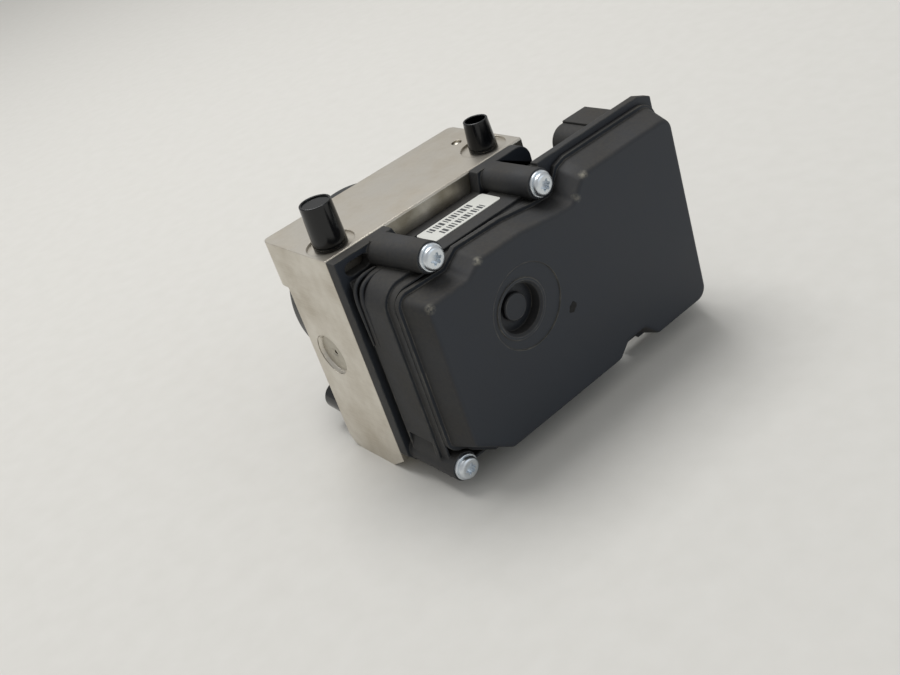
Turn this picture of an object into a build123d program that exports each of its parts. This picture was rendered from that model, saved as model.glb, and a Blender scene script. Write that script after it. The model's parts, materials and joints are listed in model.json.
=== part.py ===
"""Anti-lock brake module: hydraulic block, pump motor and electronic control unit.

Frame: the origin is the mouth of the middle mounting hole in the block's underside.
+X runs across the block, +Y back towards the pump motor, +Z up to the brake ports.
"""
from build123d import *
from math import atan2, cos, degrees, radians, sin
import os

os.makedirs("parts", exist_ok=True)

# ------------------------------------------------------------ driving dimensions, mm
# hydraulic block
block_w, block_h, block_d = 86.2, 84.0, 32.8
half_w = block_w / 2
joint_y = -17.0                      # joint face between block and control unit
back_y = joint_y + block_d
ledge_d, ledge_h = 5.5, 18.4
ledge_y = back_y + ledge_d
seat_r = 36.5                        # round seat for the motor

# brake line ports
port_r, port_depth = 4.6, 14.0
spot_r, small_spot_r, spot_depth, top_spot_depth = 8.1, 6.4, 0.5, 0.9
top_port_x, top_port_y = 34.0, -7.1
ledge_port_x, ledge_port_z = 33.0, 74.2
low_port_x, low_port_z = 34.6, 11.0
# caps: radius at the foot and at the top, height above the spot face, depth of the hollow
tall_cap, short_cap, rear_cap = (5.7, 5.3, 15.6, 0.5), (5.1, 4.3, 11.1, 7.5), (5.7, 5.3, 16.5, 13.0)
base_hole_r, base_hole_depth, base_hole_x = 2.5, 10.0, 34.0

# pump
motor_z, pump_y = 42.8, 4.0
room_r, room_y = 10.8, -3.0          # room for the eccentric
eccentric_r, eccentric_offset, ring_r = 6.0, 1.2, 9.0
piston_r, piston_tip, piston_end = 3.5, 10.5, 24.0
sleeve_r, sleeve_start, sleeve_end = 6.0, 12.0, 34.0
plug_r, plug_recess, plug_t = 7.7, 1.4, 2.6
plug_face = half_w - plug_recess
slide_fit = 0.05

# low pressure stores
store_x, store_y, store_r, store_depth = 19.0, 3.5, 6.5, 16.5
store_lip = 2.5

# solenoid valves
valve_xs = (-31.5, -10.5, 10.5, 31.5)
inlet_z, outlet_z = 62.0, 26.0
valve_r, valve_depth = 6.0, 16.0
dome_r, dome_len, dome_wall = 3.9, 16.8, 0.9
needle_r, armature_len = 0.8, 8.0
coil_r, coil_gap = 6.9, 0.15

# motor
motor_r, motor_small_r, can_wall = 34.0, 26.0, 2.0
flange_r, flange_t = 36.0, 2.2
step_y, can_end_y, boss_r, boss_len = 43.5, 58.0, 9.5, 4.0
ear_angle, ear_pcd_r, ear_r = 22.0, 38.2, 4.3
motor_screw_r = 2.5
plate_r, spigot_r, spigot_len = 29.5, 11.0, 5.0
shaft_r = 4.0
core_r, core_start, core_end = 25.2, 22.5, 34.5
slot_count = 12
commutator_r, commutator_start, commutator_end = 11.0, 39.3, 47.5
rod_z, rod_r, rod_hole_r = 69.5, 1.9, 2.3

# control unit housing and cover
flange_depth, groove_depth = 4.5, 7.0
seam_y = joint_y - 24.5
rim_y = seam_y - 1.6
face_y = joint_y - 35.8
wall, plate_t = 2.4, 3.0
neck_in, neck_y = 1.3, joint_y - 21.3  # the body steps in behind the cover's rim
back_wall_y = joint_y - 2.6
body_left, body_right, body_low, body_top = -41.1, 41.4, 5.0, 77.0
plate_right, plate_low, plate_top = 82.5, 3.8, 85.7
boss_front_y, short_boss_y = joint_y - 27.4, joint_y - 7.0
screw_boss_r, screw_r, screw_hole_r, thread_depth = 5.1, 2.1, 2.2, 12.0
head_r, flange_h, dome_head_r, head_h = 4.5, 1.0, 3.9, 2.8
upper_screw_x, upper_screw_z = 23.6, 80.5
upper_screws = ((-upper_screw_x, upper_screw_z), (upper_screw_x, upper_screw_z))
low_screw, short_screw = (-36.6, 9.2), (39.3, 7.0)   # the short one sits on the flange
long_screws = upper_screws + (low_screw,)
screw_spots = long_screws + (short_screw,)
shroud_x, shroud_z, shroud_w, shroud_h = 67.9, 46.7, 23.0, 65.6
shroud_end_y, shroud_wall = joint_y + 1.0, 2.0
board_back_y, board_t = joint_y - 25.8, 1.6
lip, skin = 1.4, 2.0                 # the cover's rim stands out past its walls
dish_x, dish_z, dish_r, dish_rim_r, dish_depth = -3.0, 51.4, 8.3, 10.2, 4.6
vent_r, breather_r, breather_sink = 2.4, 4.7, 2.8
label_x, label_w, label_d, label_t = 1.9, 29.4, 10.0, 0.25
label_y = joint_y - 10.4


def facing(y):
    """Sketch plane at depth y, with local x along +X and local y along +Z, facing -Y."""
    return Plane(origin=(0, y, 0), x_dir=(1, 0, 0), z_dir=(0, -1, 0))


def spin_profile():
    """Plane through the motor axis: local x is the radius and local y is the depth."""
    return Plane(origin=(0, 0, motor_z), x_dir=(1, 0, 0), z_dir=(0, 0, -1))


def save(part, name):
    part.label = name
    export_step(part, f"parts/{name}.step")


def ear_spots():
    """The two motor screw places, opposite each other across the axis."""
    reach = Vector(ear_pcd_r * cos(radians(ear_angle)), ear_pcd_r * sin(radians(ear_angle)))
    return [(reach.X, motor_z + reach.Y), (-reach.X, motor_z - reach.Y)]


def turned(points, axis_z=motor_z):
    """Solid of revolution about the Y line at height axis_z, from (radius, depth) points."""
    with BuildPart() as made:
        with BuildSketch(Plane(origin=(0, 0, axis_z), x_dir=(1, 0, 0), z_dir=(0, 0, -1))):
            with BuildLine():
                Polyline(*[(r, -y) for r, y in points], close=True)
            make_face()
        revolve(axis=Axis((0, 0, axis_z), (0, 1, 0)))
    return made.part


# ------------------------------------------------------------------- hydraulic block
def make_block():
    nose_z, nose_y = 4.5, 7.5
    ball_y, ball_r = 6.8, 1.9
    with BuildPart() as block:
        with BuildSketch(Plane.YZ.offset(-half_w)):
            with BuildLine():
                Polyline(
                    (joint_y, nose_z),
                    (joint_y, block_h),
                    (ledge_y, block_h),
                    (ledge_y, block_h - ledge_h),
                    (back_y, block_h - ledge_h),
                    (back_y, 0),
                    (joint_y + nose_y, 0),
                    close=True,
                )
            make_face()
        extrude(amount=block_w)
        fillet(block.edges().filter_by(Axis.Z).group_by(Axis.Y)[-1], 2.5)
        across = block.edges().filter_by(Axis.X)
        fillet(across.filter_by_position(Axis.Y, ledge_y - 0.1, ledge_y + 0.1)
               .group_by(Axis.Z)[0], 2.2)
        across = block.edges().filter_by(Axis.X)
        fillet(across.filter_by_position(Axis.Z, -0.1, 0.1).group_by(Axis.Y)[-1], 5.5)
        across = block.edges().filter_by(Axis.X)
        chamfer(across.filter_by_position(Axis.Y, joint_y - 0.1, joint_y + 0.1)
                .group_by(Axis.Z)[-1], 0.6)

        # round seat for the motor, sunk into the ledge
        with BuildSketch(facing(ledge_y + 1)):
            with Locations((0, motor_z)):
                Circle(seat_r)
        extrude(amount=ledge_d + 1, mode=Mode.SUBTRACT)

        with Locations(*[(x, top_port_y, block_h) for x in (-top_port_x, top_port_x)]):
            CounterBoreHole(port_r, spot_r, top_spot_depth, port_depth)
        rear = dict(x_dir=(-1, 0, 0), z_dir=(0, 1, 0))
        with Locations(Plane(origin=(0, ledge_y, 0), **rear)):
            with Locations((-ledge_port_x, ledge_port_z), (ledge_port_x, ledge_port_z)):
                CounterBoreHole(port_r, small_spot_r, spot_depth, port_depth)
        with Locations(Plane(origin=(0, back_y, 0), **rear)):
            with Locations((-low_port_x, low_port_z), (low_port_x, low_port_z)):
                CounterBoreHole(port_r, small_spot_r, spot_depth, port_depth - 2)
            with Locations((0, motor_z)):
                CounterBoreHole(room_r, spigot_r + 0.05, spigot_len, back_y - room_y)
            with Locations(*[(-x, z) for x, z in ear_spots()]):
                Hole(motor_screw_r, 9)

        # pump bores from both sides, with wider mouths for the plugs
        for side in (-1, 1):
            with Locations(Plane(origin=(side * half_w, pump_y, motor_z),
                                 x_dir=(0, side, 0), z_dir=(side, 0, 0))):
                CounterBoreHole(sleeve_r, plug_r, plug_recess + plug_t, half_w)

        with Locations(facing(joint_y)):
            with Locations(*[(x, z) for x in valve_xs for z in (inlet_z, outlet_z)]):
                Hole(valve_r, valve_depth)
            with Locations(*screw_spots):
                Hole(screw_r + slide_fit, thread_depth)
            with Locations((0, rod_z)):
                Hole(rod_hole_r, block_d + 1)

        # low pressure stores and mounting threads from below
        with Locations(Plane(origin=(0, 0, 0), x_dir=(1, 0, 0), z_dir=(0, 0, -1))):
            with Locations((-store_x, -store_y), (store_x, -store_y)):
                CounterBoreHole(store_r, store_r + 1, store_lip, store_depth)
            with Locations((-base_hole_x, 0), (0, 0), (base_hole_x, 0)):
                Hole(base_hole_r, base_hole_depth)

        # drilled channels, each closed by a pressed ball
        with Locations(*[(x, ball_y, block_h) for x in (-25.0, 33.6)]):
            CounterBoreHole(1.3, ball_r, 4.2, 12)

    with BuildPart() as balls:
        with Locations(*[(x, ball_y, block_h - ball_r) for x in (-25.0, 33.6)]):
            Sphere(ball_r - 0.02)
    save(block.part, "hydraulic_block")
    save(balls.part, "channel_balls")


# ------------------------------------------------------------------------- port caps
def cap_shape(foot_r, top_r, height, hollow):
    """Plastic transport cap: a stub open at its top, on a short stem, along +Z."""
    stem_r, stem_len, bore_r = port_r - 0.15, 8.0, top_r - 0.75
    with BuildPart() as cap:
        with BuildSketch(Plane.XZ):
            with BuildLine():
                Polyline(
                    (0, -stem_len),
                    (stem_r, -stem_len),
                    (stem_r, 0),
                    (foot_r, 0),
                    (top_r, height),
                    (bore_r, height),
                    (bore_r, height - hollow),
                    (0, height - hollow),
                    close=True,
                )
            make_face()
        revolve(axis=Axis.Z)
        rims = cap.edges().filter_by(GeomType.CIRCLE)
        fillet(rims.filter_by_position(Axis.Z, -0.1, 0.1).sort_by(SortBy.RADIUS)[-1:], 0.5)
        top_rims = cap.edges().filter_by(GeomType.CIRCLE).group_by(Axis.Z)[-1]
        fillet(top_rims, 0.3)
    return cap.part


def make_caps():
    for side, x, sizes in (("left", -1, tall_cap), ("right", 1, short_cap)):
        top = Plane(origin=(x * top_port_x, top_port_y, block_h - top_spot_depth))
        save(top.location * cap_shape(*sizes), f"port_cap_{side}")
        low = Plane(origin=(x * low_port_x, back_y - spot_depth, low_port_z),
                    x_dir=(1, 0, 0), z_dir=(0, 1, 0))
        save(low.location * cap_shape(*rear_cap), f"rear_cap_{side}")


# ----------------------------------------------------------------------------- pump
def coil_spring(radius, wire, length, turns):
    """Round wire compression spring along +Z from the origin."""
    pitch = (length - wire) / turns
    with BuildPart() as spring:
        with BuildLine() as path:
            Helix(pitch, pitch * turns, radius - wire / 2, center=(0, 0, wire / 2))
        start = path.line @ 0
        with BuildSketch(Plane(origin=start, z_dir=path.line % 0)):
            Circle(wire / 2)
        sweep(path=path.line, is_frenet=True)
    return spring.part


def make_pump():
    spring_wire = 0.7
    for name, side in (("left", -1), ("right", 1)):
        outward = Plane(origin=(0, pump_y, motor_z), x_dir=(0, side, 0), z_dir=(side, 0, 0))

        with BuildPart() as piston:
            with BuildSketch(outward.offset(piston_tip)):
                Circle(piston_r)
            extrude(amount=piston_end - piston_tip)
            chamfer(piston.edges().filter_by(GeomType.CIRCLE), 0.4)
            with BuildSketch(outward.offset(piston_end)):
                Circle(1.9)
            extrude(amount=2)
        save(piston.part, f"pump_piston_{name}")

        with BuildPart() as sleeve:
            with BuildSketch(outward.offset(sleeve_start)):
                Circle(sleeve_r)
                Circle(piston_r + slide_fit, mode=Mode.SUBTRACT)
            extrude(amount=sleeve_end - sleeve_start)
            for at in (18.0, 27.0):
                with BuildSketch(outward.offset(at)):
                    Circle(sleeve_r)
                    Circle(sleeve_r - 0.8, mode=Mode.SUBTRACT)
                extrude(amount=2.2, mode=Mode.SUBTRACT)
        save(sleeve.part, f"pump_sleeve_{name}")

        # the plug closes the bore and carries the spring's outer end
        with BuildPart() as plug:
            with BuildSketch(outward.offset(plug_face - plug_t)):
                Circle(plug_r)
            extrude(amount=plug_t)
            with BuildSketch(outward.offset(sleeve_end)):
                Circle(sleeve_r)
            extrude(amount=plug_face - plug_t - sleeve_end)
            with Locations(outward.offset(plug_face)):
                CounterSinkHole(0.8, 1.6, 1.4, 120)
        save(plug.part, f"pump_plug_{name}")

        spring = coil_spring(3.1, spring_wire, sleeve_end - piston_end - 0.1, 7)
        save(outward.offset(piston_end + 0.05).location * spring, f"pump_spring_{name}")


def make_stores():
    """Low pressure stores: a piston in each lower bore, pushed up by a spring on a cap."""
    piston_h, cap_h_in = 5.0, 2.0
    for name, x in (("left", -store_x), ("right", store_x)):
        spot = Plane(origin=(x, store_y, 0))
        with BuildPart() as piston:
            with BuildSketch(spot.offset(store_depth - 0.4 - piston_h)):
                Circle(store_r - slide_fit)
            extrude(amount=piston_h)
            with BuildSketch(spot.offset(store_depth - 0.4 - piston_h)):
                Circle(4.6)
            extrude(amount=3, mode=Mode.SUBTRACT)
            with BuildSketch(spot.offset(store_depth - 3.2)):
                Circle(store_r)
                Circle(store_r - 0.9, mode=Mode.SUBTRACT)
            extrude(amount=1.4, mode=Mode.SUBTRACT)
        save(piston.part, f"store_piston_{name}")

        with BuildPart() as cap:
            with BuildSketch(spot.offset(0.3)):
                Circle(store_r + 1)
            extrude(amount=cap_h_in)
            with BuildSketch(spot.offset(0.3)):
                Circle(3)
            extrude(amount=0.8, mode=Mode.SUBTRACT)
        save(cap.part, f"store_cap_{name}")

        spring_len = store_depth - 0.4 - piston_h + 3 - cap_h_in - 0.3 - 0.1
        spring = coil_spring(4.2, 0.8, spring_len, 5)
        save(spot.offset(cap_h_in + 0.35).location * spring, f"store_spring_{name}")


# --------------------------------------------------------------------------- valves
def make_valves():
    seat_y = joint_y - 7.2           # bottom of the armature's room
    dome_end = joint_y - dome_len
    tip_y = joint_y - 1.9
    for row, z in (("inlet", inlet_z), ("outlet", outlet_z)):
        for number, x in enumerate(valve_xs, 1):
            with BuildPart() as valve:
                with BuildSketch(facing(joint_y)):
                    with Locations((x, z)):
                        Circle(valve_r - 0.02)
                extrude(amount=-6)
                with BuildSketch(facing(joint_y + 6)):
                    with Locations((x, z)):
                        Circle(valve_r - 1.3)
                extrude(amount=-5)
                with BuildSketch(facing(joint_y + 11)):
                    with Locations((x, z)):
                        Circle(valve_r - 2.2)
                extrude(amount=-4)
                with BuildSketch(facing(joint_y)):
                    with Locations((x, z)):
                        Circle(dome_r)
                extrude(amount=dome_len)
                dome_rim = valve.edges().filter_by(GeomType.CIRCLE).group_by(Axis.Y)[0]
                fillet(dome_rim, 1.0)
                with BuildSketch(facing(seat_y)):
                    with Locations((x, z)):
                        Circle(dome_r - dome_wall)
                extrude(amount=seat_y - dome_end - dome_wall, mode=Mode.SUBTRACT)
                with BuildSketch(facing(tip_y + 0.9)):
                    with Locations((x, z)):
                        Circle(needle_r + slide_fit)
                extrude(amount=tip_y + 0.9 - seat_y, mode=Mode.SUBTRACT)
            save(valve.part, f"{row}_valve_{number}")

            armature_y = dome_end + dome_wall + (0.3 if row == "inlet" else 0.5)
            with BuildPart() as armature:
                with BuildSketch(facing(armature_y + armature_len)):
                    with Locations((x, z)):
                        Circle(dome_r - dome_wall - slide_fit)
                extrude(amount=armature_len)
                with BuildSketch(facing(tip_y)):
                    with Locations((x, z)):
                        Circle(needle_r)
                extrude(amount=tip_y - armature_y - armature_len)
            save(armature.part, f"{row}_armature_{number}")


def make_coil_pack():
    """Eight solenoid coils moulded onto one carrier, with their terminals."""
    plate_y, plate_thick = back_wall_y - 0.1, 1.3
    coil_start = plate_y - plate_thick
    coil_end = joint_y - dome_len + 0.4
    spots = [(x, z) for x in valve_xs for z in (inlet_z, outlet_z)]
    with BuildPart() as pack:
        with BuildSketch(facing(plate_y)):
            with Locations((0, (inlet_z + outlet_z) / 2)):
                RectangleRounded(73, 58, 5)
            with Locations((0, rod_z)):
                Circle(rod_hole_r + 0.6, mode=Mode.SUBTRACT)
        extrude(amount=plate_thick)
        with BuildSketch(facing(coil_start)):
            with Locations(*spots):
                Circle(coil_r)
        extrude(amount=coil_start - coil_end)
        with BuildSketch(facing(coil_start - 1.2)):
            with Locations(*spots):
                Circle(coil_r)
                Circle(coil_r - 0.9, mode=Mode.SUBTRACT)
        extrude(amount=coil_start - coil_end - 2.4, mode=Mode.SUBTRACT)
        with BuildSketch(facing(plate_y)):
            with Locations(*spots):
                Circle(dome_r + coil_gap)
        extrude(amount=plate_y - coil_end, mode=Mode.SUBTRACT)
        with BuildSketch(facing(coil_end)):
            with Locations(*spots):
                with Locations((-2.0, 6.2), (2.0, 6.2)):
                    Rectangle(0.8, 0.8)
        extrude(amount=coil_end - board_back_y)
    save(pack.part, "coil_pack")


# ---------------------------------------------------------------------------- motor
def make_motor_shell():
    with BuildPart() as can:
        with BuildSketch(spin_profile()):
            with BuildLine():
                Polyline(
                    (flange_r, -back_y),
                    (flange_r, -back_y - flange_t),
                    (motor_r, -back_y - flange_t),
                    (motor_r, -step_y),
                    (motor_small_r, -step_y),
                    (motor_small_r, -can_end_y),
                    (boss_r, -can_end_y),
                    (boss_r, -can_end_y - boss_len),
                    (0, -can_end_y - boss_len),
                    (0, -can_end_y - boss_len + can_wall),
                    (boss_r - can_wall, -can_end_y - boss_len + can_wall),
                    (boss_r - can_wall, -can_end_y + can_wall),
                    (motor_small_r - can_wall, -can_end_y + can_wall),
                    (motor_small_r - can_wall, -step_y + can_wall),
                    (motor_r - can_wall, -step_y + can_wall),
                    (motor_r - can_wall, -back_y),
                    close=True,
                )
            make_face()
        revolve(axis=Axis((0, 0, motor_z), (0, 1, 0)))
        rings = can.edges().filter_by(GeomType.CIRCLE)
        fillet(rings.filter_by(lambda e: abs(e.radius - motor_r) < 0.01).group_by(Axis.Y)[-1], 4)
        rings = can.edges().filter_by(GeomType.CIRCLE)
        fillet(rings.filter_by(lambda e: abs(e.radius - motor_small_r) < 0.01)
               .group_by(Axis.Y)[-1], 5)
        rings = can.edges().filter_by(GeomType.CIRCLE)
        fillet(rings.filter_by(lambda e: abs(e.radius - boss_r) < 0.01).group_by(Axis.Y)[-1], 1.5)
        with BuildSketch(facing(back_y + flange_t)):
            with Locations(*ear_spots()):
                Circle(ear_r)
            with Locations((0, motor_z)):
                Rectangle(2 * ear_pcd_r, 2 * ear_r, rotation=ear_angle)
                Circle(motor_r - 1, mode=Mode.SUBTRACT)
        extrude(amount=flange_t)
        with Locations(facing(back_y)):
            with Locations(*ear_spots()):
                Hole(motor_screw_r + 0.1, 2 * flange_t)
        # two magnet arcs glued inside the can
        with BuildSketch(facing(step_y - can_wall - 1)):
            with Locations((0, motor_z)):
                Circle(motor_r - can_wall)
                Circle(core_r + 1.0, mode=Mode.SUBTRACT)
                Rectangle(30, 80, mode=Mode.SUBTRACT)
        extrude(amount=17)
    save(can.part, "motor_can")

    seal_gap = 0.1
    end_plate = turned([
        (shaft_r + 1.5, back_y - spigot_len), (spigot_r, back_y - spigot_len),
        (spigot_r, back_y), (plate_r, back_y), (plate_r, back_y + 1.8),
        (9.5, back_y + 1.8), (9.5, back_y - spigot_len + 0.6),
        (shaft_r + 1.5, back_y - spigot_len + 0.6)])
    with BuildPart() as plate:
        add(end_plate)
        with BuildSketch(facing(back_y + 2)):
            with Locations((0, rod_z)):
                Circle(rod_hole_r)
        extrude(amount=3, mode=Mode.SUBTRACT)
    save(plate.part, "motor_end_plate")
    seal_out = motor_r - can_wall - seal_gap
    save(turned([(plate_r + seal_gap, back_y), (seal_out, back_y),
                 (seal_out, back_y + 1.8), (plate_r + seal_gap, back_y + 1.8)]), "motor_seal")

    with BuildPart() as screws:
        with BuildSketch(facing(back_y + flange_t)):
            with Locations(*ear_spots()):
                Circle(motor_screw_r - slide_fit)
        extrude(amount=flange_t + 8)
        with BuildSketch(facing(back_y + flange_t + 3)):
            with Locations(*ear_spots()):
                RegularPolygon(3.8, 6)
        extrude(amount=3)
    save(screws.part, "motor_screws")


def make_bearings():
    def ring(inner, outer, start, end):
        lip = 0.35
        mid_in, mid_out = inner + (outer - inner) * 0.35, inner + (outer - inner) * 0.65
        return turned([
            (inner, start), (mid_in, start), (mid_in, start + lip), (mid_out, start + lip),
            (mid_out, start), (outer, start), (outer, end), (mid_out, end),
            (mid_out, end - lip), (mid_in, end - lip), (mid_in, end), (inner, end)])

    running = shaft_r + 0.04
    save(ring(running, 9.48, back_y - spigot_len + 0.7, back_y + 1.6), "front_bearing")
    seat = boss_r - can_wall
    save(ring(running, seat - 0.02, can_end_y - can_wall + 0.2, can_end_y + 1.6), "rear_bearing")


def make_rotor():
    shaft_front, shaft_back = pump_y - 5.5, can_end_y + 1.2
    with BuildPart() as shaft:
        with BuildSketch(facing(shaft_back)):
            with Locations((0, motor_z)):
                Circle(shaft_r)
        extrude(amount=shaft_back - shaft_front)
        with BuildSketch(facing(pump_y + 4.6)):
            with Locations((0, motor_z + eccentric_offset)):
                Circle(eccentric_r)
        extrude(amount=9.2)
    save(shaft.part, "rotor_shaft")

    with BuildPart() as ring:
        with BuildSketch(facing(pump_y + 4)):
            with Locations((0, motor_z + eccentric_offset)):
                Circle(ring_r)
                Circle(eccentric_r, mode=Mode.SUBTRACT)
        extrude(amount=8)
        chamfer(ring.edges().filter_by(lambda e: e.geom_type == GeomType.CIRCLE
                                       and abs(e.radius - ring_r) < 0.01), 0.5)
    save(ring.part, "eccentric_bearing")

    slot_w, slot_in, slot_out = 3.4, 12.0, 23.4
    slot_mid = (slot_in + slot_out) / 2
    with BuildPart() as core:
        with BuildSketch(facing(core_end)):
            with Locations((0, motor_z)):
                Circle(core_r)
                Circle(shaft_r, mode=Mode.SUBTRACT)
                with PolarLocations(slot_mid, slot_count):
                    Rectangle(slot_out - slot_in, slot_w, mode=Mode.SUBTRACT)
                with PolarLocations(core_r, slot_count):
                    Rectangle(6, 1.2, mode=Mode.SUBTRACT)
        extrude(amount=core_end - core_start)
    save(core.part, "armature_core")

    end_turn = 4.0
    with BuildPart() as winding:
        with BuildSketch(facing(core_end + end_turn)):
            with Locations((0, motor_z)):
                with PolarLocations(slot_mid, slot_count):
                    Rectangle(slot_out - slot_in - 0.6, slot_w - 0.3)
        extrude(amount=core_end - core_start + 2 * end_turn)
        for start in (core_end + end_turn, core_start - 0.02):
            with BuildSketch(facing(start)):
                with Locations((0, motor_z)):
                    Circle(slot_out - 1.2)
                    Circle(slot_in + 0.8, mode=Mode.SUBTRACT)
            extrude(amount=end_turn - 0.02)
    save(winding.part, "armature_winding")

    with BuildPart() as commutator:
        with BuildSketch(facing(commutator_end)):
            with Locations((0, motor_z)):
                Circle(commutator_r)
                Circle(shaft_r, mode=Mode.SUBTRACT)
                with PolarLocations(commutator_r, slot_count):
                    Rectangle(1.6, 0.5, mode=Mode.SUBTRACT)
        extrude(amount=commutator_end - commutator_start)
    save(commutator.part, "commutator")


def make_brushes():
    brush_w, brush_t, brush_len, gap = 6.0, 8.0, 6.5, 0.15
    mid_y = (commutator_start + commutator_end) / 2
    brush_in = commutator_r + gap
    plate_y = commutator_end + 1.2
    with BuildPart() as plate:
        with BuildSketch(facing(plate_y + 2)):
            with Locations((0, motor_z)):
                Circle(motor_small_r - can_wall - 0.1)
                Circle(8, mode=Mode.SUBTRACT)
        extrude(amount=2)
        for side in (-1, 1):
            with BuildSketch(facing(plate_y)):
                with Locations((side * (brush_in + 6.2), motor_z)):
                    Rectangle(9, brush_w + 2.2)
                    Rectangle(9, brush_w + 0.1, mode=Mode.SUBTRACT)
                with Locations((side * (brush_in + 10.2), motor_z)):
                    Rectangle(1, brush_w + 2.2)
            extrude(amount=plate_y - mid_y + brush_t / 2)
        spring = coil_spring(2.4, 0.6, 3.25, 3)
        for side in (-1, 1):
            behind = Plane(origin=(side * (brush_in + brush_len + 0.05), mid_y, motor_z),
                           x_dir=(0, side, 0), z_dir=(side, 0, 0))
            add(behind.location * spring)
    save(plate.part, "brush_plate")
    for name, side in (("left", -1), ("right", 1)):
        with BuildPart() as brush:
            with BuildSketch(facing(mid_y + brush_t / 2)):
                with Locations((side * (brush_in + brush_len / 2), motor_z)):
                    Rectangle(brush_len, brush_w)
            extrude(amount=brush_t)
        save(brush.part, f"brush_{name}")


def make_contact_rod():
    with BuildPart() as contact:
        with BuildSketch(facing(back_y + 1.6)):
            with Locations((0, rod_z)):
                Circle(rod_r)
        extrude(amount=back_y + 1.6 - board_back_y)
    save(contact.part, "motor_contact_rod")


# --------------------------------------------------------------------- control unit
def cover_face():
    """Corners of the cover's flat front face."""
    return [(-35.2, 71.2), (-18.6, 71.4), (-12.6, 75.1), (4.8, 74.9), (20.5, 72.6),
            (27.6, 72.0), (33.6, 77.8), (37.2, 79.2), (78.1, 79.0), (78.1, 7.6),
            (51.0, 7.6), (45.2, 13.7), (36.8, 13.8), (31.4, 9.2), (-21.5, 9.2), (-35.2, 19.2)]


def cover_foot():
    """Corners of the cover's wall where it meets the rim, matching those of the face."""
    return [(-38.0, 73.6), (-19.4, 72.9), (-13.4, 76.7), (5.4, 76.2), (20.0, 74.2),
            (28.2, 73.8), (33.4, 80.8), (37.4, 81.9), (80.4, 81.6), (80.4, 5.4),
            (50.2, 5.4), (44.6, 11.4), (37.4, 11.4), (32.2, 6.8), (-22.4, 6.8), (-38.0, 17.8)]


def outline(corners, grow):
    """Flat sketch of an outline, grown on all sides."""
    with BuildSketch() as shape:
        with BuildLine():
            Polyline(*corners, close=True)
        make_face()
        offset(amount=grow, kind=Kind.INTERSECTION)
    return shape.sketch


def pin_spots():
    """Contact places in the socket: two columns of small pins over four wide blades."""
    small = [(x, shroud_z - 14 + 2.6 * row) for x in (65.4, 70.4) for row in range(17)]
    wide = [(x, z) for x in (64.9, 70.9) for z in (20.5, 26.0)]
    return small, wide


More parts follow.
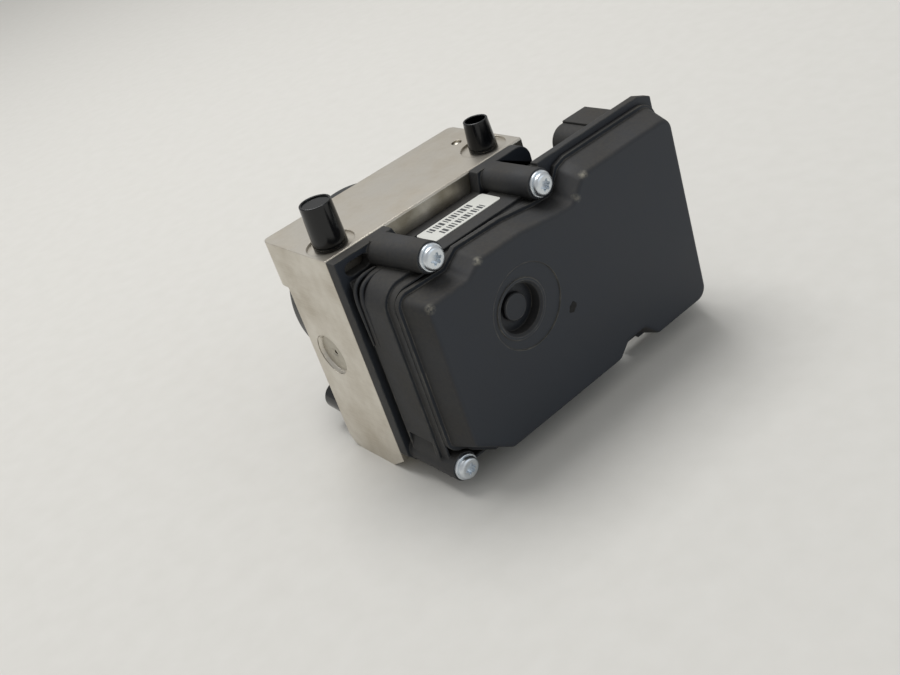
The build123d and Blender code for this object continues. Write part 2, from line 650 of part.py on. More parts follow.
def make_housing():
    small, wide = pin_spots()
    with BuildPart() as housing:
        # flange on the block, cut away between the two upper screw pillars
        with BuildSketch(facing(joint_y)) as flange:
            with BuildLine():
                Polyline(
                    (-half_w, 8.4), (-half_w, block_h), (-19.4, block_h), (-17.0, body_top),
                    (16.5, body_top), (18.0, block_h), (41.8, block_h),
                    (41.8, body_low), (-half_w + 3.4, body_low), close=True)
            make_face()
            fillet(flange.vertices().sort_by(Axis.X)[-2:].sort_by(Axis.Y)[-1:], 5.5)
        extrude(amount=flange_depth)
        # groove behind the flange, then the body proper
        with BuildSketch(facing(joint_y - flange_depth)):
            with BuildLine():
                Polyline((body_left + 1.3, body_low + 2), (body_left + 1.3, body_top - 1.3),
                         (body_right, body_top - 1.3), (body_right, body_low + 2), close=True)
            make_face()
        extrude(amount=groove_depth - flange_depth)
        with BuildSketch(facing(joint_y - groove_depth)) as body:
            with BuildLine():
                Polyline((body_left, body_low), (body_left, body_top),
                         (body_right, body_top), (body_right, body_low), close=True)
            make_face()
            fillet(body.vertices().group_by(Axis.X)[0].sort_by(Axis.Y)[-1:], 8)
            chamfer(body.vertices().group_by(Axis.X)[0].sort_by(Axis.Y)[:1], 3)
        extrude(amount=joint_y - groove_depth - neck_y)
        with BuildSketch(facing(neck_y)) as neck:
            with Locations(((body_left + body_right) / 2, (body_low + body_top) / 2)):
                Rectangle(body_right - body_left - 2 * neck_in, body_top - body_low - 2 * neck_in)
            fillet(neck.vertices().group_by(Axis.X)[0].sort_by(Axis.Y)[-1:], 6.5)
        extrude(amount=neck_y - seam_y)

        # overhanging plate that carries the socket
        with BuildSketch(facing(seam_y + plate_t)):
            with BuildLine():
                Polyline((27, plate_low), (27, plate_top), (plate_right - 6.1, plate_top),
                         (plate_right, plate_top - 2.5), (plate_right, plate_low + 3),
                         (plate_right - 3, plate_low), close=True)
            make_face()
        extrude(amount=plate_t)
        with BuildSketch(facing(shroud_end_y)):
            with Locations((shroud_x, shroud_z)):
                RectangleRounded(shroud_w, shroud_h, 6)
        extrude(amount=shroud_end_y - seam_y - plate_t)

        # screw pillars: broad where they leave the flange, round at the screw heads
        for (x, z), base_x, base_w in zip(upper_screws, (-25.5, 24.0), (12.4, 11.4)):
            with BuildSketch(facing(joint_y)):
                with Locations((base_x, block_h - 4.9)):
                    RectangleRounded(base_w, 9.6, 4.4)
            with BuildSketch(facing(boss_front_y)):
                with Locations((x, z)):
                    Circle(screw_boss_r)
            loft()
        # cavity for the coils, open to the front
        with BuildSketch(facing(back_wall_y)):
            with Locations(((body_left + body_right) / 2, (body_low + body_top) / 2)):
                RectangleRounded(body_right - body_left - 2 * wall,
                                 body_top - body_low - 2 * wall, 4)
        extrude(amount=back_wall_y - seam_y, mode=Mode.SUBTRACT)
        for spot, front_y in ((low_screw, boss_front_y), (short_screw, short_boss_y)):
            with BuildSketch(facing(joint_y)):
                with Locations(spot):
                    Circle(screw_boss_r)
            extrude(amount=joint_y - front_y)

        # socket room, pin holes, valve openings and screw holes
        with BuildSketch(facing(shroud_end_y)):
            with Locations((shroud_x, shroud_z)):
                RectangleRounded(shroud_w - 2 * shroud_wall, shroud_h - 2 * shroud_wall, 4)
        extrude(amount=shroud_end_y - seam_y - plate_t, mode=Mode.SUBTRACT)
        with BuildSketch(facing(seam_y + plate_t)):
            with Locations(*small):
                Rectangle(0.7, 0.7)
            with Locations(*wide):
                Rectangle(2.9, 0.9)
        extrude(amount=plate_t, mode=Mode.SUBTRACT)
        with Locations(facing(boss_front_y)):
            with Locations(*long_screws):
                Hole(screw_hole_r, joint_y - boss_front_y)
        with Locations(facing(short_boss_y)):
            with Locations(short_screw):
                Hole(screw_hole_r, joint_y - short_boss_y)
        # way for a driver to the short screw, walled off from the cavity
        way_r = screw_boss_r + 0.35
        with BuildSketch(facing(short_boss_y)):
            with Locations(((body_left + body_right) / 2, (body_low + body_top) / 2)):
                Rectangle(body_right - body_left - 2, body_top - body_low - 2)
            with Locations(short_screw):
                Circle(way_r + 1.6, mode=Mode.INTERSECT)
        extrude(amount=short_boss_y - seam_y)
        with BuildSketch(facing(short_boss_y)):
            with Locations(short_screw):
                Circle(way_r)
        extrude(amount=short_boss_y - seam_y, mode=Mode.SUBTRACT)
        with BuildSketch(facing(joint_y)):
            with Locations(*[(x, z) for x in valve_xs for z in (inlet_z, outlet_z)]):
                Circle(dome_r + 0.7)
            with Locations((0, rod_z)):
                Circle(rod_hole_r)
        extrude(amount=joint_y - back_wall_y, mode=Mode.SUBTRACT)

        # groove for the gasket, the slot in the flange and the pocket low on the left
        with BuildSketch(facing(joint_y)):
            gasket_outline(0)
        extrude(amount=1.2, mode=Mode.SUBTRACT)
        with BuildSketch(facing(joint_y)):
            with Locations((-35.2, 79.6)):
                SlotOverall(9.6, 4.4)
        extrude(amount=flange_depth, mode=Mode.SUBTRACT)
        with BuildSketch(Plane.XZ.offset(-(joint_y - 7.5))):
            with BuildLine():
                Polyline((body_left, 13.2), (body_left + 2.0, 19.0), (body_left, 19.0), close=True)
            make_face()
        extrude(amount=12.5, mode=Mode.SUBTRACT)
    save(housing.part, "ecu_housing")

    with BuildPart() as pins:
        with BuildSketch(facing(shroud_end_y - 8)):
            with Locations(*small):
                Rectangle(0.64, 0.64)
            with Locations(*wide):
                Rectangle(2.8, 0.8)
        extrude(amount=shroud_end_y - 8 - board_back_y)
    save(pins.part, "connector_pins")

    with BuildPart() as gasket:
        with BuildSketch(facing(joint_y)):
            gasket_outline(0.05)
        extrude(amount=1.15)
    save(gasket.part, "block_gasket")


def gasket_outline(gap):
    """Frame-shaped outline, drawn into the sketch that is open."""
    with Locations((0, 44.4)):
        RectangleRounded(76.4 - 2 * gap, 61.4 - 2 * gap, 5)
        RectangleRounded(73.2 + 2 * gap, 58.2 + 2 * gap, 3.5, mode=Mode.SUBTRACT)


def make_cover():
    inner_taper, edge_round = 12, 1.5
    ring_x, ring_z, ring_out, ring_depth = -0.6, 51.0, 14.3, 0.35
    with BuildPart() as cover:
        for corners, y in ((cover_foot(), rim_y), (cover_face(), face_y)):
            with BuildSketch(facing(y)):
                add(outline(corners, 0))
        loft(ruled=True)
        upright = cover.edges().filter_by(
            lambda e: abs(e.center().Y - (rim_y + face_y) / 2) < 0.5)
        right = upright.sort_by(Axis.X)[-2:]
        fillet(right, 5.0)
        upright = cover.edges().filter_by(
            lambda e: abs(e.center().Y - (rim_y + face_y) / 2) < 0.5 and e.center().X < 60)
        fillet(upright, 3.0)
        fillet(cover.faces().sort_by(Axis.Y)[0].edges(), edge_round)
        with BuildSketch(facing(seam_y)) as rim:
            add(outline(cover_foot(), lip))
            fillet(rim.vertices().group_by(Axis.X)[-1], 7.4)
            fillet(rim.vertices().group_by(Axis.X)[0], 5.0)
        extrude(amount=seam_y - rim_y)

        # hollow inside, leaving a thick place behind the dish
        with BuildSketch(facing(seam_y)):
            add(outline(cover_foot(), -skin))
            with Locations((dish_x, dish_z)):
                Circle(dish_r + 2.2, mode=Mode.SUBTRACT)
        extrude(amount=seam_y - face_y - skin, taper=inner_taper, mode=Mode.SUBTRACT)
        with BuildSketch(facing(seam_y)):
            with Locations((dish_x, dish_z)):
                Circle(dish_r + 5)
        extrude(amount=seam_y - face_y - dish_depth - skin, mode=Mode.SUBTRACT)

        # shallow field round a raised rim, then the dish for the breather with its vent hole
        with BuildSketch(facing(face_y)):
            with Locations((ring_x, ring_z)):
                Circle(ring_out)
            with Locations((dish_x, dish_z)):
                Circle(dish_rim_r, mode=Mode.SUBTRACT)
        extrude(amount=-ring_depth, mode=Mode.SUBTRACT)
        with Locations(facing(face_y)):
            with Locations((dish_x, dish_z)):
                CounterSinkHole(dish_r, dish_r + 0.9, dish_depth, 90)
                Hole(vent_r, dish_depth + skin + 1)
            # room beside the rim for the four screw pillars
            with Locations(*screw_spots):
                Hole(screw_boss_r + 0.35, seam_y - face_y)
    save(cover.part, "ecu_cover")

    with BuildPart() as plug:
        with BuildSketch(facing(face_y + dish_depth)):
            with Locations((dish_x, dish_z)):
                Circle(breather_r)
        extrude(amount=dish_depth - breather_sink)
        chamfer(plug.edges().filter_by(GeomType.CIRCLE).group_by(Axis.Y)[0], 0.4)
        with BuildSketch(facing(face_y + dish_depth)):
            with Locations((dish_x, dish_z)):
                Circle(vent_r - slide_fit)
        extrude(amount=-skin - 0.4)
    save(plug.part, "breather_plug")


def make_cover_screws():
    recess_r, lobe_r, recess_depth = 1.5, 0.5, 1.6
    with BuildPart() as screws:
        for spots, front_y in ((long_screws, boss_front_y), ((short_screw,), short_boss_y)):
            with BuildPart(mode=Mode.ADD) as group:
                with BuildSketch(facing(front_y)):
                    with Locations(*spots):
                        Circle(head_r)
                extrude(amount=flange_h)
                fillet(group.edges().filter_by(GeomType.CIRCLE).group_by(Axis.Y)[0], 0.35)
                with BuildSketch(facing(front_y)):
                    with Locations(*spots):
                        Circle(dome_head_r)
                extrude(amount=head_h)
                fillet(group.edges().filter_by(GeomType.CIRCLE).group_by(Axis.Y)[0], 1.2)
                with BuildSketch(facing(front_y - head_h)):
                    with Locations(*spots):
                        Circle(recess_r)
                        with PolarLocations(recess_r + 0.1, 6):
                            Circle(lobe_r)
                extrude(amount=-recess_depth, mode=Mode.SUBTRACT)
                with BuildSketch(facing(front_y)):
                    with Locations(*spots):
                        Circle(screw_r)
                extrude(amount=front_y - joint_y - thread_depth + 1)
    save(screws.part, "cover_screws")


def make_board():
    """Circuit board with its processor, drivers and capacitors."""
    front_y = board_back_y - board_t
    with BuildPart() as board:
        with BuildSketch(facing(board_back_y)):
            add(outline(cover_foot(), -3.2))
        extrude(amount=board_t)
        with BuildSketch(facing(front_y)):
            with Locations((45, 52)):
                Rectangle(20, 20)
            with Locations((22, 34), (-20, 32)):
                Rectangle(14, 10)
            with GridLocations(6, 5, 5, 3):
                with Locations((45, 24)):
                    Rectangle(3, 1.6)
        extrude(amount=1.6)
        with BuildSketch(facing(front_y)):
            with Locations((68, 70), (68, 58)):
                Circle(4)
        extrude(amount=4.6)
    save(board.part, "circuit_board")


def make_label():
    with BuildPart() as label:
        with BuildSketch(Plane.XY.offset(body_top)):
            with Locations((label_x, label_y)):
                RectangleRounded(label_w, label_d, 1.2)
        extrude(amount=label_t)
    save(label.part, "label")


if __name__ == "__main__":
    make_block()
    make_caps()
    make_pump()
    make_stores()
    make_valves()
    make_coil_pack()
    make_motor_shell()
    make_bearings()
    make_rotor()
    make_brushes()
    make_contact_rod()
    make_housing()
    make_cover()
    make_cover_screws()
    make_board()
    make_label()
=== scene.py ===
"""Anti-lock brake module: finishes, moulded and turned detail, camera and lights."""
import json
import math

import bmesh
import bpy
from mathutils import Matrix, Vector


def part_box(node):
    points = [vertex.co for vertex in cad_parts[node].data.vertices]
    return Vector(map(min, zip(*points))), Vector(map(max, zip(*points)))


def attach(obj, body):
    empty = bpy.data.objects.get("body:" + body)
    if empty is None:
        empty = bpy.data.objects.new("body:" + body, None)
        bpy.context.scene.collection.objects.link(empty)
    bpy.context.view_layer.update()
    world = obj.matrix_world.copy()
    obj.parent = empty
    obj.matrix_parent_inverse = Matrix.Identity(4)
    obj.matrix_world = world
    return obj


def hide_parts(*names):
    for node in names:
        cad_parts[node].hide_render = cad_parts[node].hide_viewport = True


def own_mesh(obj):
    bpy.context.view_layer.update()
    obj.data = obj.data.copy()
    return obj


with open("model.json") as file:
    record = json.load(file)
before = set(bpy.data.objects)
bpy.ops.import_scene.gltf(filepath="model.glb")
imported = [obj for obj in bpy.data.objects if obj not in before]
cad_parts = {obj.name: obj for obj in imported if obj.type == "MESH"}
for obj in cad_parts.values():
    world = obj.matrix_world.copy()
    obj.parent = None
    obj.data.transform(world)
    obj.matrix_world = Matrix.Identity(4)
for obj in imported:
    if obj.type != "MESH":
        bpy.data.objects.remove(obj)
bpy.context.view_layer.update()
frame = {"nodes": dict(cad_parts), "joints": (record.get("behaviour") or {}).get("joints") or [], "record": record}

MM = 0.001


# ------------------------------------------------------------------ colour and nodes
def linear(hex_code):
    """Linear colour, as a shader takes it, from an sRGB hex value."""
    parts = [int(hex_code[i:i + 2], 16) / 255 for i in (1, 3, 5)]
    return [c / 12.92 if c <= 0.04045 else ((c + 0.055) / 1.055) ** 2.4 for c in parts] + [1.0]


def per_mm(size):
    """Scale of a pattern whose features are size millimetres across."""
    return 1 / (size * MM)


def add(tree, kind, inputs, **settings):
    """Adds a node with its settings, and links or sets its inputs."""
    node = tree.nodes.new("ShaderNode" + kind)
    for name, value in settings.items():
        setattr(node, name, value)
    for key, value in inputs.items():
        if isinstance(value, bpy.types.NodeSocket):
            tree.links.new(value, node.inputs[key])
        else:
            node.inputs[key].default_value = value
    return node


# inputs and output of a colour mix, which shares its socket names with other kinds
FACTOR, FIRST, SECOND, MIXED = 0, 6, 7, 2


def begin(name, **shader):
    """New material with one main shader, whose plain values are set on its own sockets."""
    material = bpy.data.materials.new(name)
    material.use_nodes = True
    tree = material.node_tree
    tree.nodes.clear()
    main = add(tree, "BsdfPrincipled", {key.replace("_", " "): v for key, v in shader.items()})
    add(tree, "OutputMaterial", {"Surface": main.outputs[0]})
    place = add(tree, "TexCoord", {}).outputs["Object"]
    return material, tree, main, place


def moulded_polyamide(name, base, dust_share, highlight_scuffs=()):
    """Glass-filled polyamide, moulded: dark charcoal with a fine spark-eroded grain. Brown
    road dust lies on what faces up and, thinner, on the sides, but is wiped off the front.
    Highlight scuffs are places in millimetres where the plastic is scraped pale and carries a painted highlight."""
    material, tree, main, place = begin(name, IOR=1.53)
    cloud = add(tree, "TexNoise", {"Vector": place, "Scale": per_mm(22), "Detail": 5.0,
                                   "Roughness": 0.6})
    # the real grain is about 0.1 mm across, drawn at 1.1 mm so that it shows
    speckle = add(tree, "TexNoise", {"Vector": place, "Scale": per_mm(1.1), "Detail": 3.0})
    bevel = add(tree, "Bevel", {"Radius": 0.6 * MM}, samples=4)
    facing = add(tree, "SeparateXYZ", {"Vector": bevel.outputs[0]})
    upward = add(tree, "MapRange", {"Value": facing.outputs["Z"], "From Min": -0.05,
                                    "From Max": 0.95, "To Min": 0.0, "To Max": dust_share})
    patchy = add(tree, "MapRange", {"Value": cloud.outputs["Fac"], "From Min": 0.3,
                                    "From Max": 0.7, "To Min": 0.45, "To Max": 1.0})
    sideways = add(tree, "MapRange", {"Value": facing.outputs["Y"], "From Min": -0.95,
                                      "From Max": -0.5, "To Min": 0.0, "To Max": dust_share * 0.8})
    film = add(tree, "Math", {0: upward.outputs[0], 1: sideways.outputs[0]}, operation="MAXIMUM")
    dust = add(tree, "Math", {0: film.outputs[0], 1: patchy.outputs[0]}, operation="MULTIPLY")
    tone = add(tree, "Mix", {FACTOR: cloud.outputs["Fac"], FIRST: linear(base),
                             SECOND: linear("#1f2732")}, data_type="RGBA")
    grit = add(tree, "Mix", {FACTOR: speckle.outputs["Fac"], FIRST: linear("#2c261a"),
                             SECOND: linear("#5a503a")}, data_type="RGBA")
    dusty = add(tree, "Mix", {FACTOR: dust.outputs[0], FIRST: tone.outputs[MIXED],
                              SECOND: grit.outputs[MIXED]}, data_type="RGBA")
    # pale wear here and there along the edges, which also paints highlights on the ridges
    flat = add(tree, "NewGeometry", {}).outputs["Normal"]
    ridge = add(tree, "VectorMath", {0: bevel.outputs[0], 1: flat}, operation="DOT_PRODUCT")
    ridge_wear_and_highlight = add(tree, "MapRange", {"Value": ridge.outputs["Value"], "From Min": 0.98,
                                  "From Max": 0.8, "To Min": 0.0, "To Max": 1.0})
    scuff = add(tree, "TexNoise", {"Vector": place, "Scale": per_mm(4.5), "Detail": 3.0})
    patch = add(tree, "MapRange", {"Value": scuff.outputs["Fac"], "From Min": 0.47,
                                   "From Max": 0.66, "To Min": 0.3, "To Max": 0.85})
    wear_and_highlight = add(tree, "Math", {0: ridge_wear_and_highlight.outputs[0], 1: patch.outputs[0]}, operation="MULTIPLY")
    # pale scuffs that also carry a painted highlight, at each given place
    for highlight_scuff in highlight_scuffs:
        away = add(tree, "VectorMath", {0: place, 1: [c * MM for c in highlight_scuff]},
                   operation="DISTANCE")
        near = add(tree, "MapRange", {"Value": away.outputs["Value"], "From Max": 1.9 * MM,
                                      "To Min": 1.0, "To Max": 0.0})
        scraped = add(tree, "MapRange", {"Value": speckle.outputs["Fac"], "From Min": 0.3,
                                         "From Max": 0.62, "To Max": 0.9})
        mark = add(tree, "Math", {0: near.outputs[0], 1: scraped.outputs[0]},
                   operation="MULTIPLY")
        wear_and_highlight = add(tree, "Math", {0: wear_and_highlight.outputs[0], 1: mark.outputs[0]}, operation="MAXIMUM")
    edge = add(tree, "Mix", {FACTOR: wear_and_highlight.outputs[0], FIRST: dusty.outputs[MIXED],
                             SECOND: linear("#918d80")}, data_type="RGBA")
    # painted shade: grooves and corners darkened to near black by ambient occlusion
    corner = add(tree, "AmbientOcclusion", {"Distance": 4 * MM}, samples=6)
    unshaded_share = add(tree, "MapRange", {"Value": corner.outputs["AO"], "From Min": 0.25,
                                      "From Max": 0.8})
    painted_shade_mix = add(tree, "Mix", {FACTOR: unshaded_share.outputs[0], FIRST: linear("#0b0a09"),
                              SECOND: edge.outputs[MIXED]}, data_type="RGBA")
    tree.links.new(painted_shade_mix.outputs[MIXED], main.inputs["Base Color"])
    rough = add(tree, "MapRange", {"Value": cloud.outputs["Fac"], "To Min": 0.42,
                                   "To Max": 0.6})
    dull = add(tree, "MapRange", {"Value": dust.outputs[0], "From Max": dust_share,
                                  "To Min": rough.outputs[0], "To Max": 0.85})
    tree.links.new(dull.outputs[0], main.inputs["Roughness"])
    bump = add(tree, "Bump", {"Strength": 0.35, "Distance": 0.04 * MM,
                              "Height": speckle.outputs["Fac"], "Normal": bevel.outputs[0]})
    tree.links.new(bump.outputs[0], main.inputs["Normal"])
    return material


def machined_aluminium(name):
    """Extruded aluminium, face milled: pale warm grey with fine straight tool lines, dulled by handling
    and faint water stains. Front faces above the plate darken in streaks: oily grime and painted shade."""
    material, tree, main, place = begin(name, Metallic=1.0)
    stretched = add(tree, "Mapping", {"Vector": place, "Scale": (0.06, 0.06, 1.0)})
    # real feed lines are about 0.1 mm apart, drawn at 0.5 mm so that they show
    lines = add(tree, "TexNoise", {"Vector": stretched.outputs[0], "Scale": per_mm(0.5),
                                   "Detail": 3.0})
    stains = add(tree, "TexNoise", {"Vector": place, "Scale": per_mm(16), "Detail": 6.0,
                                    "Roughness": 0.62})
    shade = add(tree, "MapRange", {"Value": stains.outputs["Fac"], "From Min": 0.35,
                                   "From Max": 0.68})
    tone = add(tree, "Mix", {FACTOR: shade.outputs[0], FIRST: linear("#d6d1c7"),
                             SECOND: linear("#bcb4a6")}, data_type="RGBA")
    brushed = add(tree, "MapRange", {"Value": lines.outputs["Fac"], "From Min": 0.35,
                                     "From Max": 0.65, "To Min": 0.0, "To Max": 0.25})
    lined = add(tree, "Mix", {FACTOR: brushed.outputs[0], FIRST: tone.outputs[MIXED],
                              SECOND: linear("#d9d4ca")}, data_type="RGBA")
    # front faces darkened in streaks: oily grime and painted shade
    facing = add(tree, "SeparateXYZ", {"Vector": add(tree, "NewGeometry", {}).outputs["Normal"]})
    front = add(tree, "MapRange", {"Value": facing.outputs["Y"], "From Min": -0.7,
                                   "From Max": -0.95, "To Min": 0.0, "To Max": 1.0})
    settled = add(tree, "MapRange", {"Value": stains.outputs["Fac"], "From Min": 0.35,
                                     "From Max": 0.6, "To Min": 0.15, "To Max": 0.6})
    grime_and_painted_shade = add(tree, "Math", {0: front.outputs[0], 1: settled.outputs[0]}, operation="MULTIPLY")
    painted_shade_mix = add(tree, "Mix", {FACTOR: grime_and_painted_shade.outputs[0], FIRST: lined.outputs[MIXED],
                              SECOND: linear("#6e6551")}, data_type="RGBA")
    tree.links.new(painted_shade_mix.outputs[MIXED], main.inputs["Base Color"])
    rough = add(tree, "MapRange", {"Value": stains.outputs["Fac"], "To Min": 0.26,
                                   "To Max": 0.5})
    tree.links.new(rough.outputs[0], main.inputs["Roughness"])
    bevel = add(tree, "Bevel", {"Radius": 0.5 * MM}, samples=4)
    bump = add(tree, "Bump", {"Strength": 0.25, "Distance": 0.03 * MM,
                              "Height": lines.outputs["Fac"], "Normal": bevel.outputs[0]})
    tree.links.new(bump.outputs[0], main.inputs["Normal"])
    return material


def mottled(name, base, darker, roughness, sway, grain, strength, relief, **shader):
    """One tint, mottled over grain millimetres: towards a darker one, in roughness by sway
    each way, and with a fine relief in millimetres."""
    material, tree, main, place = begin(name, **shader)
    mottle = add(tree, "TexNoise", {"Vector": place, "Scale": per_mm(grain), "Detail": 4.0})
    tone = add(tree, "Mix", {FACTOR: mottle.outputs["Fac"], FIRST: linear(base),
                             SECOND: linear(darker)}, data_type="RGBA")
    tree.links.new(tone.outputs[MIXED], main.inputs["Base Color"])
    rough = add(tree, "MapRange", {"Value": mottle.outputs["Fac"], "To Min": roughness - sway,
                                   "To Max": roughness + sway})
    tree.links.new(rough.outputs[0], main.inputs["Roughness"])
    bump = add(tree, "Bump", {"Strength": strength, "Distance": relief * MM,
                              "Height": mottle.outputs["Fac"]})
    tree.links.new(bump.outputs[0], main.inputs["Normal"])
    return material


def metal(name, base, darker, roughness, grain):
    """Bare or plated metal in its own tint, mottled by its finish."""
    return mottled(name, base, darker, roughness, 0.08, grain, 0.2, 0.02, Metallic=1.0)


def coated(name, base, darker, roughness, grain, ior):
    """Plastic, rubber, film, paint or ink, slightly clouded and with a soft skin."""
    return mottled(name, base, darker, roughness, 0.06, grain, 0.3, 0.03, IOR=ior)


# corners of the cover's face that are scraped pale and carry a painted highlight, in millimetres
highlight_scuff_corners = [(-34.0, -51.8, 70.2), (-13.0, -51.8, 74.6), (30.4, -51.8, 73.0),
                   (35.6, -51.8, 78.6)]
finishes = {
    "moulded_polyamide": moulded_polyamide("glass_filled_polyamide_moulded", "#141a24", 0.45,
                                           highlight_scuff_corners),
    "breather_plastic": moulded_polyamide("breather_polyamide_moulded", "#191d24", 0.2),
    "block_aluminium": machined_aluminium("extruded_aluminium_milled"),
    "cap_plastic": coated("polyethylene_cap_moulded", "#05070b", "#030406", 0.18, 6, 1.51),
    "label_film": coated("polyester_film_printed", "#e1e1db", "#d5d5ce", 0.4, 9, 1.6),
    "zinc_steel": metal("steel_bright_zinc_plated", "#eef3f7", "#d3dae1", 0.33, 2.2),
    "dark_screw_steel": metal("steel_dull_zinc_plated", "#8a8c84", "#5f615b", 0.42, 1.5),
    "plug_steel": metal("steel_pressed_dull", "#c3beb3", "#aaa598", 0.42, 2.4),
    "motor_steel": coated("deep_drawn_steel_black_coated", "#26292a", "#1b1d1e", 0.38, 5, 1.55),
    "machined_steel": metal("steel_turned", "#b9babb", "#8f9193", 0.3, 1.2),
    "spring_steel": metal("spring_wire_drawn", "#8f9296", "#6a6d71", 0.3, 0.5),
    "copper": metal("copper_drawn", "#d08a5e", "#a9653e", 0.3, 1.2),
    "carbon": coated("carbon_brush_sintered", "#2a2a2b", "#1c1c1d", 0.62, 0.6, 1.6),
    "brush_plate_plastic": coated("polyamide_carrier_moulded", "#2f3032", "#252628", 0.5, 3, 1.53),
    "seal_rubber": coated("nitrile_rubber_moulded", "#1f1f20", "#161617", 0.66, 1.5, 1.52),
    "board_laminate": coated("epoxy_laminate_lacquered", "#1f5a36", "#174428", 0.34, 4, 1.55),
}
slot_of = {part["node"]: part["material_slot"] for part in frame["record"]["subparts"]}
for node_name, node in frame["nodes"].items():
    node.data.materials.clear()
    node.data.materials.append(finishes[slot_of[node_name]])


# ------------------------------------------------------------------ ways to make a piece
def show(name, mesh, slot_name, finish=None):
    """Puts a mesh in the scene as a piece of the fixed body."""
    piece = bpy.data.objects.new(name, mesh)
    mesh.materials.clear()
    mesh.materials.append(finish or finishes[slot_name])
    bpy.context.scene.collection.objects.link(piece)
    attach(piece, "module")
    return piece


def finished(name, work, closed=True):
    """Turns mesh work into a mesh. A closed one gets its normals turned outwards."""
    if closed:
        bmesh.ops.recalc_face_normals(work, faces=work.faces)
    mesh = bpy.data.meshes.new(name)
    work.to_mesh(mesh)
    work.free()
    return mesh


def eased(node_name, width):
    """Stands for a node, with its sharp edges rounded to width millimetres."""
    mesh = frame["nodes"][node_name].data.copy()
    work = bmesh.new()
    work.from_mesh(mesh)
    bmesh.ops.remove_doubles(work, verts=work.verts, dist=0.002 * MM)
    bmesh.ops.dissolve_limit(work, angle_limit=math.radians(0.6), verts=work.verts,
                             edges=work.edges, delimit={"NORMAL"})
    for face in work.faces:
        face.smooth = True
    work.to_mesh(mesh)
    work.free()
    piece = show(node_name + "_eased", mesh, slot_of[node_name])
    rounding = piece.modifiers.new("rounding", "BEVEL")
    rounding.width, rounding.segments = width * MM, 3
    rounding.limit_method, rounding.angle_limit = "ANGLE", math.radians(35)
    rounding.use_clamp_overlap = False
    # the rounding is applied, and held inside the node's own box
    rounded = bpy.data.meshes.new_from_object(
        piece.evaluated_get(bpy.context.evaluated_depsgraph_get()))
    low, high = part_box(node_name)
    for vertex in rounded.vertices:
        vertex.co = [min(max(c, a), b) for c, a, b in zip(vertex.co, low, high)]
    piece.modifiers.clear()
    piece.data = rounded
    # large faces keep their own normals, and the rounding takes up the turn between them
    piece.modifiers.new("weighting", "WEIGHTED_NORMAL")
    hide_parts(node_name)


def working_spring(node_name):
    """Stands for a coil spring, with a mesh of its own copied from the node."""
    piece = show(node_name + "_working", frame["nodes"][node_name].data.copy(),
                 slot_of[node_name])
    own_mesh(piece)
    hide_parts(node_name)


def bead(name, path, radius, slot_name):
    """A moulded ridge of round section along a path in millimetres, thinner at its ends."""
    curve = bpy.data.curves.new(name, "CURVE")
    curve.dimensions = "3D"
    curve.bevel_depth, curve.bevel_resolution, curve.resolution_u = radius * MM, 3, 6
    curve.use_fill_caps = True
    line = curve.splines.new("NURBS")
    line.points.add(len(path) - 1)
    for point, place in zip(line.points, path):
        point.co = [c * MM for c in place] + [1]
        point.radius = 1
    line.points[0].radius = line.points[-1].radius = 0.5
    line.order_u, line.use_endpoint_u = 3, True
    work = bpy.data.objects.new(name, curve)
    mesh = bpy.data.meshes.new_from_object(work)
    bpy.data.objects.remove(work)
    for face in mesh.polygons:
        face.use_smooth = True
    show(name, mesh, slot_name)


def turned(name, profile, turn, slot_name, steps, wobble, lobes, finish=None):
    """A ring or disc turned from a profile of (radius, height) in millimetres, whose rim
    wanders by wobble millimetres, as a staked or trimmed edge does."""
    work = bmesh.new()
    rows = []
    for k in range(steps):
        angle = 2 * math.pi * k / steps
        sway = wobble * (math.sin(lobes * angle) + 0.6 * math.sin(2.7 * lobes * angle + 1))
        rows.append([])
        for radius, height in profile:
            reach = radius + sway if radius > 0 else radius
            point = Vector((reach * math.cos(angle), reach * math.sin(angle), height))
            rows[-1].append(work.verts.new(turn @ point * MM))
    for here, there in zip(rows, rows[1:] + rows[:1]):
        for i in range(len(profile) - 1):
            work.faces.new((here[i], there[i], there[i + 1], here[i + 1])).smooth = True
    bmesh.ops.remove_doubles(work, verts=work.verts, dist=0.001 * MM)
    show(name, finished(name, work), slot_name, finish)


def raised_pad(name, outline, low, high, slot_name):
    """A raised moulded pad of a given outline, its upper edge softened."""
    work = bmesh.new()
    foot = work.faces.new([work.verts.new((x * MM, y * MM, low * MM)) for x, y in outline])
    made = bmesh.ops.extrude_face_region(work, geom=[foot])
    top = [v for v in made["geom"] if isinstance(v, bmesh.types.BMVert)]
    bmesh.ops.translate(work, verts=top, vec=(0, 0, (high - low) * MM))
    rim = [e for e in work.edges if all(v in top for v in e.verts)]
    bmesh.ops.bevel(work, geom=rim, offset=0.3 * MM, segments=3, affect="EDGES", profile=0.5)
    show(name, finished(name, work), slot_name)


def printed_bars(name, rows, left_margin, right_margin, ink):
    """Plain generic bars in rows on the label. Each row is given by its lower and upper
    edge, and stands a little further right than the one before. All in millimetres."""
    widths, gaps = (0.5, 0.9, 0.5, 0.7, 1.1, 0.5, 0.8), (0.5, 0.8, 0.45, 0.6, 0.9)
    work = bmesh.new()
    low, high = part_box("label")
    start, end, z = low[0] / MM, high[0] / MM, high[2] + 0.02 * MM
    for row, (y0, y1) in enumerate(rows):
        shift = 1.5 * row
        x, k = start + left_margin + shift, 0
        while x < end - right_margin + shift:
            wide = widths[(k + 3 * row) % len(widths)]
            corners = [(x, y0), (x + wide, y0), (x + wide, y1), (x, y1)]
            work.faces.new([work.verts.new((cx * MM, cy * MM, z)) for cx, cy in corners])
            x, k = x + wide + gaps[k % len(gaps)], k + 1
    show(name, finished(name, work, closed=False), "label_film", ink)


# --------------------------------------------------------------------------- the pieces
eased("ecu_housing", 0.35)

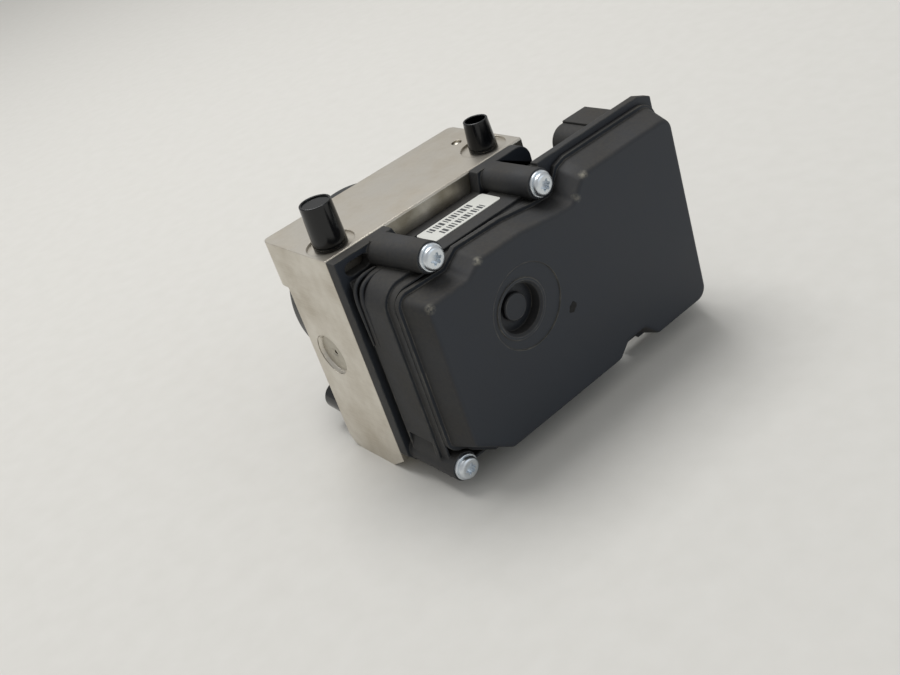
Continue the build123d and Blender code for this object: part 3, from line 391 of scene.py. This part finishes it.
for joint in frame["joints"]:
    for sprung in joint.get("deforming_nodes", []):
        working_spring(sprung["node"])

printed_bars("label_bars", ((-26.6, -23.6), (-31.2, -28.2)), 3.6, 7.0,
             coated("label_ink_printed", "#4b4d50", "#3c3e41", 0.5, 2, 1.5))

# double lip round the upper left corner of the housing's body
body_left, body_top = -41.1, 77.0
for number, (y, out) in enumerate(((-24.5, 0.25), (-27.1, -0.2))):
    x, z = body_left - out, body_top + out
    bead(f"corner_lip_{number}", [(x, y, 54), (x, y, 66), (x, y, z - 6), (x + 0.8, y, z - 2.6),
                                  (x + 2.6, y, z - 0.8), (x + 6, y, z), (x + 10, y, z)],
         0.75, "moulded_polyamide")

# mould gate mark on the cover's face: the dark torn end of the trimmed stub
facing_front = Matrix.Translation((16.6, -52.8, 40.0)) @ Matrix.Rotation(math.radians(90), 4, "X")
turned("gate_stub", [(0, 0.02), (1.0, 0.02), (1.7, 0.02), (1.8, -0.1)], facing_front,
       "moulded_polyamide", 24, 0.3, 2,
       coated("polyamide_gate_stub_torn", "#050505", "#030303", 0.8, 1, 1.53))

# key pad on top of the connector's shroud, notched near the plate
raised_pad("connector_key_pad", [(63.6, -16.2), (75.4, -16.2), (75.4, -38.6), (66.2, -38.6),
                                 (66.2, -30.4), (63.6, -30.4)], 79.2, 80.4, "moulded_polyamide")

# staked metal folded over the pump plugs' rims, inside their recesses
for side, name in ((-1, "left"), (1, "right")):
    facing_side = (Matrix.Translation((43.0 * side, 4.0, 42.8))
                   @ Matrix.Rotation(math.radians(90 * side), 4, "Y"))
    turned(f"plug_staking_{name}", [(7.68, -0.2), (7.5, -0.32), (7.2, -0.7), (6.9, -1.0),
                                    (6.75, -1.35)], facing_side, "block_aluminium", 96, 0.09, 9)


# -------------------------------------------------------------- camera, lights, floor
def camera_at_front_left():
    """Camera at the front left, above the object, rolled to the right."""
    camera_data = bpy.data.cameras.new("camera")
    camera_data.lens, camera_data.sensor_width = 45.075, 36.0
    camera_data.shift_y = -37.5 / 900
    camera_data.clip_start, camera_data.clip_end = 0.02, 20
    camera = bpy.data.objects.new("camera", camera_data)
    right = Vector((0.72309, -0.62997, -0.28334))
    up = Vector((0.51082, 0.21156, 0.83325))
    turn = Matrix((right, up, right.cross(up))).transposed().to_4x4()
    camera.matrix_world = Matrix.Translation(Vector((-181.5, -300.9, 227.2)) * MM) @ turn
    bpy.context.scene.collection.objects.link(camera)
    bpy.context.scene.camera = camera


def matt_floor(reach):
    """Painted floor, matt and pale warm grey, out to reach metres each way."""
    material, tree, main, place = begin("painted_floor_matt", Roughness=0.7)
    speck = add(tree, "TexNoise", {"Vector": place, "Scale": per_mm(9), "Detail": 5.0})
    tone = add(tree, "Mix", {FACTOR: speck.outputs["Fac"], FIRST: linear("#dcdad5"),
                             SECOND: linear("#d4d2cc")}, data_type="RGBA")
    tree.links.new(tone.outputs[MIXED], main.inputs["Base Color"])
    mesh = bpy.data.meshes.new("floor")
    mesh.from_pydata([(-reach, -reach, 0), (reach, -reach, 0), (reach, reach, 0),
                      (-reach, reach, 0)], [], [(0, 1, 2, 3)])
    mesh.materials.append(material)
    floor = bpy.data.objects.new("floor", mesh)
    bpy.context.scene.collection.objects.link(floor)


def surroundings(hex_code, strength):
    """Even light from all round."""
    world = bpy.data.worlds.new("studio")
    bpy.context.scene.world = world
    world.use_nodes = True
    background = world.node_tree.nodes["Background"]
    background.inputs["Color"].default_value = linear(hex_code)
    background.inputs["Strength"].default_value = strength


def softbox(name, spot, aim, width, depth, power, tint):
    """Rectangular lamp at spot, in metres, turned towards aim."""
    lamp = bpy.data.lights.new(name, "AREA")
    lamp.color = tint
    lamp.shape, lamp.size, lamp.size_y, lamp.energy = "RECTANGLE", width, depth, power
    light = bpy.data.objects.new(name, lamp)
    light.location = spot
    light.rotation_mode = "QUATERNION"
    light.rotation_quaternion = (Vector(aim) - Vector(spot)).to_track_quat("-Z", "Y")
    bpy.context.scene.collection.objects.link(light)


camera_at_front_left()
matt_floor(3.0)
surroundings("#f1f1f0", 0.5)
softbox("overhead_softbox", (0.08, 0.5, 1.4), (0, 0, 0.03), 0.95, 0.8, 14.5, (1.0, 1.0, 1.0))
softbox("front_fill", (0.5, -1.4, 0.7), (0, 0, 0.04), 1.1, 1.1, 2.5, (0.8, 0.9, 1.0))
bpy.context.scene.view_settings.view_transform = "Standard"
